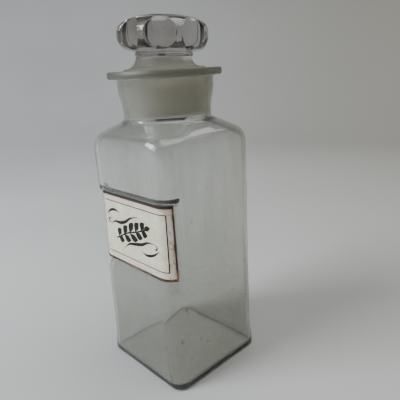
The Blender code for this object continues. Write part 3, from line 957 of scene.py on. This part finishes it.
# %% [markdown]
# ## Old clear glass
# Flint glass is nearly colourless, and only long paths through it show grey-green. So the tint is
# absorption inside the body, and the surface stays clear. What the eye reads as age is on the
# surface: dust, with painted shade, that darkens the glass towards the foot, wiped smears, specks of
# grime, dirt settled on the shoulder, a dull ledge over the label darkened as painted shade, and
# the ground bore and flange, which scatter all that passes; the flange is also darkened as painted
# shade. The pane's index of refraction is set well below that of glass, which keeps reflections
# from veiling the print.

# %% Glass of the jar
DUST_AND_SHADE_SPAN = 2 * MM, 175 * MM
SETTLED_FROM, SETTLED_TO = (156 * MM, 168 * MM), (176 * MM, 180 * MM)
FRONT_SPAN = -33 * MM, -28 * MM
GROUND_SOFTNESS = 0.3 * MM


def jar_glass():
    finish = Finish("jar_glass")
    vector, x, y, z = finish.place()
    flat = finish.node("ShaderNodeCombineXYZ", None, {0: x, 1: y})
    reach = finish.node("ShaderNodeVectorMath", {"operation": "LENGTH"}, {0: flat}, output="Value")
    in_bore = 1 - reach.step(BORE_MOUTH_RADIUS - 0.1 * MM, BORE_MOUTH_RADIUS + 0.6 * MM)
    ground = in_bore * z.step(GROUND_FOOT_Z - GROUND_SOFTNESS, GROUND_FOOT_Z + GROUND_SOFTNESS)
    # the flange is roughened like ground glass, and its colour is darkened as painted shade of the long
    # path through it
    flange = z.step(FLANGE_Z - 0.3 * MM, FLANGE_Z + 0.6 * MM)
    ground = ground.maths("MAXIMUM", ground, 0.8 * flange)
    smear = finish.noise(vector, 28, 4, 0.6, stretch=(1, 1, 0.35)).step(0.44, 0.64)
    wipes = finish.noise(vector, 110, 5, 0.7, stretch=(1, 1, 0.3)).step(0.42, 0.62)
    specks = finish.noise(vector, 900, 2, 0.6).step(0.64, 0.70)
    grime = finish.noise(vector, 420, 2, 0.6).step(0.66, 0.70)
    # dust and painted shade: the glass darkens towards the foot, partly from dust and partly as painted
    # shade
    dust_and_shade = (1 - z.step(*DUST_AND_SHADE_SPAN)) * (0.7 + 0.6 * finish.noise(vector, 40, 4, 0.6))
    settled = z.step(*SETTLED_FROM) * (1 - z.step(*SETTLED_TO)) * finish.noise(vector, 90, 4, 0.6)
    on_front = 1 - y.step(*FRONT_SPAN)
    ledge_top = LABEL_TOP_Z + TOP_LEDGE
    above_label = z.step(LABEL_TOP_Z + 0.6 * MM, LABEL_TOP_Z + 1.2 * MM)
    # the ledge over the label is roughened, and its colour is darkened as painted shade of the recess
    ledge = on_front * above_label * (1 - z.step(ledge_top, ledge_top + 1 * MM))
    roughness = 0.010 + 0.02 * smear + 0.02 * wipes + 0.12 * specks + 0.04 * dust_and_shade
    roughness = roughness + 0.6 * ledge + 0.6 * ground
    colour = finish.mix(smear * 0.45 + wipes * 0.55, (0.998, 0.998, 0.99), (0.88, 0.88, 0.862))
    colour = finish.coats(
        colour, (dust_and_shade, (0.71, 0.71, 0.675)), (settled * 1.3, (0.71, 0.71, 0.685)),
        (ledge, (0.84, 0.81, 0.79)), (grime * dust_and_shade, (0.22, 0.21, 0.18)),
        (ground, (0.76, 0.74, 0.66)), (flange, (0.50, 0.49, 0.43)),
    )
    swell = finish.noise(vector, 45, 2, 0.4)
    grit = finish.noise(vector, 3500, 2, 0.7)
    normal = finish.bump(swell * 0.6 + grit * ground * 0.15, 0.35, 0.15 * MM)
    return finish.done(
        absorption=((0.80, 0.83, 0.79), 115.0), Base_Color=colour, Roughness=roughness, Normal=normal,
        IOR=1.5, Transmission_Weight=0.97,
    )


# %% Glass of the stopper
def stopper_glass():
    finish = Finish("stopper_glass")
    vector, *_, z = finish.place()
    frosted = 1 - z.step(WAIST_Z - 1.2 * MM, WAIST_Z + 0.2 * MM)
    smear = finish.noise(vector, 60, 3, 0.6).step(0.5, 0.75)
    rings = finish.noise(vector, 120, 3, 0.6, stretch=(1, 1, 12))
    roughness = 0.01 + 0.05 * smear + frosted * (0.60 + 0.12 * rings)
    colour = finish.mix(frosted, (0.95, 0.945, 0.94), (0.78, 0.76, 0.68))
    grit = finish.noise(vector, 3500, 2, 0.7)
    swell = finish.noise(vector, 90, 2, 0.4)
    cords = finish.noise(vector, 330, 3, 0.6, stretch=(1, 1, 0.16))
    relief = swell * 0.4 + cords * (1 - frosted) * 0.45 + grit * frosted * 0.2 + rings * frosted * 0.2
    normal = finish.bump(relief, 0.35, 0.15 * MM)
    return finish.done(
        absorption=((0.80, 0.79, 0.78), 65.0), Base_Color=colour, Roughness=roughness, Normal=normal,
        IOR=1.5, Transmission_Weight=1.0,
    )


# %% Glass of the pane
PANE_IOR = 1.12


def pane_glass():
    finish = Finish("label_glass")
    vector = finish.place()[0]
    smear = finish.noise(vector, 70, 4, 0.6, stretch=(1, 1, 0.5)).step(0.5, 0.75)
    swell = finish.noise(vector, 60, 2, 0.4)
    return finish.done(
        Base_Color=finish.mix(smear, (1.0, 1.0, 0.99), (0.97, 0.96, 0.93)),
        Roughness=0.02 + 0.08 * smear, Normal=finish.bump(swell, 0.15, 0.1 * MM),
        IOR=PANE_IOR, Transmission_Weight=1.0,
    )


# %% [markdown]
# ## Paper, ink and resin
# The sheet has yellowed unevenly: cream inside the printed frame, a pinker tan outside it where
# the resin's oils crept in, with foxing there and rust-brown stains at the ends. The ink is a
# brown black, worn thin in places. The resin is nearly black, and amber at its right-hand corners.

# %% Paper of the label
def label_paper():
    finish = Finish("label_paper")
    vector, x, _, z = finish.place()
    across = x.absolute()
    edge_x = across.step(FRAME_X - 0.2 * MM, FRAME_X + 0.4 * MM)
    edge_low = 1 - z.step((FRAME_LOW - 1.0) * MM, (FRAME_LOW + 0.3) * MM)
    edge_high = z.step((FRAME_HIGH - 0.3) * MM, (FRAME_HIGH + 1.0) * MM)
    outside = 1 - (1 - edge_x) * (1 - edge_low) * (1 - edge_high)
    blotch = finish.noise(vector, 90, 5, 0.65)
    fibre = finish.noise(vector, 1400, 3, 0.7)
    at_end = across.step(PAPER_END_X - 1.3 * MM, PAPER_END_X)
    stain = finish.noise(vector, 160, 5, 0.7).step(0.46, 0.64) * at_end
    mottle = finish.noise(vector, 330, 4, 0.6)
    foxing = finish.noise(vector, 420, 3, 0.6).step(0.58, 0.70) * outside
    tone = finish.mix(blotch.step(0.36, 0.64), (0.98, 0.935, 0.79), (0.88, 0.82, 0.63))
    tone = finish.coats(
        tone, (mottle.step(0.46, 0.64) * 0.5, (0.74, 0.74, 0.62)),
        (outside * (0.65 + 0.4 * blotch), (0.93, 0.79, 0.67)), (foxing * 0.6, (0.48, 0.31, 0.17)),
        (stain, (0.30, 0.14, 0.05)), (fibre.step(0.62, 0.8) * 0.3, (0.45, 0.36, 0.25)),
    )
    return finish.done(
        Base_Color=tone, Roughness=0.72 + 0.15 * fibre, Normal=finish.bump(fibre, 0.3, 0.05 * MM),
        Specular_IOR_Level=0.15,
    )


# %% Ink and resin
def label_ink():
    finish = Finish("label_ink")
    vector = finish.place()[0]
    worn = finish.noise(vector, 700, 4, 0.7).step(0.58, 0.74)
    thin = finish.noise(vector, 120, 3, 0.6).step(0.45, 0.75)
    tone = finish.mix(thin, (0.002, 0.0016, 0.0012), (0.008, 0.005, 0.003))
    tone = finish.mix(worn * 0.3, tone, (0.10, 0.07, 0.045))
    return finish.done(
        Base_Color=tone, Roughness=0.5 + 0.2 * worn, Normal=finish.bump(worn, 0.2, 0.02 * MM),
        Specular_IOR_Level=0.1,
    )


LABEL_MIDDLE_Z = 104 * MM


def resin():
    finish = Finish("resin_cement")
    vector, x, _, z = finish.place()
    patch = finish.noise(vector, 220, 4, 0.65)
    corner = x.step(33 * MM, 37 * MM) * (z - LABEL_MIDDLE_Z).absolute().step(14 * MM, 23 * MM)
    tone = finish.mix(patch.step(0.42, 0.7), (0.022, 0.010, 0.004), (0.070, 0.030, 0.011))
    tone = finish.mix(corner * patch.step(0.40, 0.60), tone, (0.28, 0.11, 0.03))
    crust = finish.noise(vector, 900, 4, 0.7)
    return finish.done(
        Base_Color=tone, Roughness=0.28 + 0.4 * patch, Normal=finish.bump(crust, 0.6, 0.15 * MM),
    )


# %% [markdown]
# ## Fit the pieces to the model
# Each fine piece replaces its imported node, where there is one, takes its finish and rides on the
# same body, so when the stopper lifts, its fine mesh lifts with it.

# %% Ride, replace and finish
def fit(piece, body, node, material):
    piece.data.materials.append(material)
    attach(piece, body)
    if node:
        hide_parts(node)


fit(jar, "jar", "jar_body", jar_glass())
fit(stopper, "stopper", "stopper", stopper_glass())
fit(pane, "jar", "label_glass", pane_glass())
fit(sheet, "jar", "label_sheet", label_paper())
fit(ink, "jar", None, label_ink())
fit(cement, "jar", "label_cement", resin())

# %% [markdown]
# ## A plain pale stage
# Clear glass shows only what stands round it. A pale cloth-toned floor that curves up into a
# round wall gives it a bright ground. The cloth is darker and warmer at the back right, as painted
# shade, and dark at the front right, a painted shade that stands for an unlit room and gives the
# glass something dark to mirror. It glows faintly under the base, to stand in for the light that
# thick glass gathers there. All of this stays put in any view.

# %% Floor and wall
STAGE_SIDES, STAGE_SINK = 96, 0.5 * MM
STAGE_BENDS = [(0.002, 0, 0), (1.25, 0, 0.55), (1.6, 0.62, 0.1), (1.66, 1.3, 0)]
GLOW_SPAN = 33 * MM, 39.5 * MM


def stage_finish():
    finish = Finish("stage_cloth")
    vector, x, y, _ = finish.place()
    cloud = finish.noise(vector, 3, 3, 0.5)
    weave = finish.noise(vector, 1500, 2, 0.6)
    # painted shade: the cloth is darker and warmer towards the back right
    shaded_back_right = (0.70 * x + 0.71 * y).step(-0.35, 0.8)
    tone = finish.mix(cloud.step(0.3, 0.7), (0.41, 0.415, 0.42), (0.375, 0.38, 0.385))
    tone = finish.mix(shaded_back_right, tone, (0.285, 0.275, 0.245))
    # painted shade: the cloth is dark at the front right, standing for an unlit room for the glass to
    # mirror
    near = (0.73 * x - 0.69 * y).step(0.35, 1.3)
    tone = finish.mix(near, tone, (0.16, 0.16, 0.16))
    under = (1 - x.absolute().step(*GLOW_SPAN)) * (1 - y.absolute().step(*GLOW_SPAN))
    return finish.done(
        Base_Color=tone, Roughness=0.9, Normal=finish.bump(weave, 0.2, 0.1 * MM),
        Emission_Color=finish.mix(under, (0, 0, 0), (0.34, 0.34, 0.325)), Emission_Strength=1.0,
    )


def make_stage():
    angles = np.linspace(0, 2 * math.pi, STAGE_SIDES, endpoint=False)
    profile = rounded_profile(STAGE_BENDS, step=0.08, arc_steps=20)
    profile[:, 1] -= STAGE_SINK
    rings = [ring_at(np.column_stack([r * np.cos(angles), r * np.sin(angles)]), z) for r, z in profile]
    uncapped = skin_faces(len(rings), STAGE_SIDES)[:-2]
    stage = add_piece("stage_cloth", np.concatenate(rings).tolist(), uncapped)
    stage.data.materials.append(stage_finish())
    stage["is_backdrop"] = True


make_stage()

# %% [markdown]
# ## Slats for the cut head
# Clear glass is drawn by what its curves bend into view. In a still-life studio dark strips hang
# round the set, and the head's flutes pick them up as fine lines. They hang above all that is seen
# straight through the jar, and the camera, the floor and the shadows leave them out.

# %% Hang the slats
SLATS, SLAT_DISTANCE, SLAT_HALF_WIDTH = 14, 0.35, 0.014
SLAT_LOW, SLAT_HIGH = 0.33, 0.95


def felt():
    finish = Finish("grey_felt")
    nap = finish.noise(finish.place()[0], 800)
    tone = finish.mix(nap, (0.04, 0.04, 0.04), (0.07, 0.07, 0.07))
    return finish.done(Base_Color=tone, Roughness=0.95)


def hang_slat(name, bearing, cloth):
    out = Vector((math.cos(bearing), math.sin(bearing), 0)) * SLAT_DISTANCE
    aside = Vector((-math.sin(bearing), math.cos(bearing), 0)) * SLAT_HALF_WIDTH
    corners = ((-1, SLAT_LOW), (1, SLAT_LOW), (1, SLAT_HIGH), (-1, SLAT_HIGH))
    points = [(*(out + aside * end).xy, z) for end, z in corners]
    slat = add_piece(name, points, [(0, 1, 2, 3)])
    slat.data.materials.append(cloth)
    slat.visible_camera = slat.visible_diffuse = slat.visible_shadow = False
    slat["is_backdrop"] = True


slat_cloth = felt()
for i in range(SLATS):
    hang_slat(f"slat_{i + 1}", 2 * math.pi * (i + 0.5) / SLATS, slat_cloth)

# %% [markdown]
# ## Light
# A big soft window in front, to the left and above, does most of the work, a broad dim panel
# overhead fills in, and the world adds a grey room. Being large, they meet glass as soft shapes.

# %% Window, panel and room
def area_light(name, place, target, size, power, colour):
    light = bpy.data.lights.new(name, "AREA")
    light.shape, light.size, light.size_y = "RECTANGLE", *size
    light.energy, light.color = power, colour
    lamp = bpy.data.objects.new(name, light)
    lamp.location = place
    lamp.rotation_euler = (Vector(target) - Vector(place)).to_track_quat("-Z", "Y").to_euler()
    bpy.context.scene.collection.objects.link(lamp)


area_light("window", (-0.45, -1.05, 1.0), (0, 0, 0.1), (0.7, 0.9), 36, (0.93, 0.97, 1.0))
area_light("overhead", (0.2, 0.3, 1.35), (0, 0, 0), (1.2, 1.2), 16, (1.0, 0.985, 0.95))

world = bpy.data.worlds.new("grey_room")
world.use_nodes = True
background = world.node_tree.nodes["Background"]
background.inputs["Color"].default_value = (0.80, 0.83, 0.86, 1)
background.inputs["Strength"].default_value = 0.25
bpy.context.scene.world = world

# %% [markdown]
# ## The camera
# The jar is seen from its front right corner, from about the height of its rim, with the camera
# tipped down and turned a little. The lens is a plain one, with no shift and no blur.

# %% Place the camera
CAMERA_PLACE = Vector((221.0, -183.1, 204.2)) * MM
CAMERA_HEADING, CAMERA_TILT, CAMERA_ROLL = 46.69, -17.0, -3.13
LENS = 38.06

camera_data = bpy.data.cameras.new("camera")
camera_data.lens, camera_data.sensor_width = LENS, 36
camera_data.clip_start, camera_data.clip_end = 0.01, 20
camera = bpy.data.objects.new("camera", camera_data)
heading = Matrix.Rotation(math.radians(CAMERA_HEADING), 4, "Z")
tilt = Matrix.Rotation(math.radians(90 + CAMERA_TILT), 4, "X")
roll = Matrix.Rotation(math.radians(CAMERA_ROLL), 4, "Z")
camera.matrix_world = Matrix.Translation(CAMERA_PLACE) @ heading @ tilt @ roll
bpy.context.scene.collection.objects.link(camera)
bpy.context.scene.camera = camera
print("camera looks along", [round(v, 4) for v in camera.matrix_world.to_3x3() @ Vector((0, 0, -1))])

# %% [markdown]
# ## Print the size
# The last step writes the imported box and the fine model's box side by side. They should agree to
# a fraction of a millimetre.

# %% Write both boxes
boxes = {"cad": cad_box, "visual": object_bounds()}
for name, (low, high) in boxes.items():
    print(name, [round(v / MM, 2) for v in (*low, *high)])
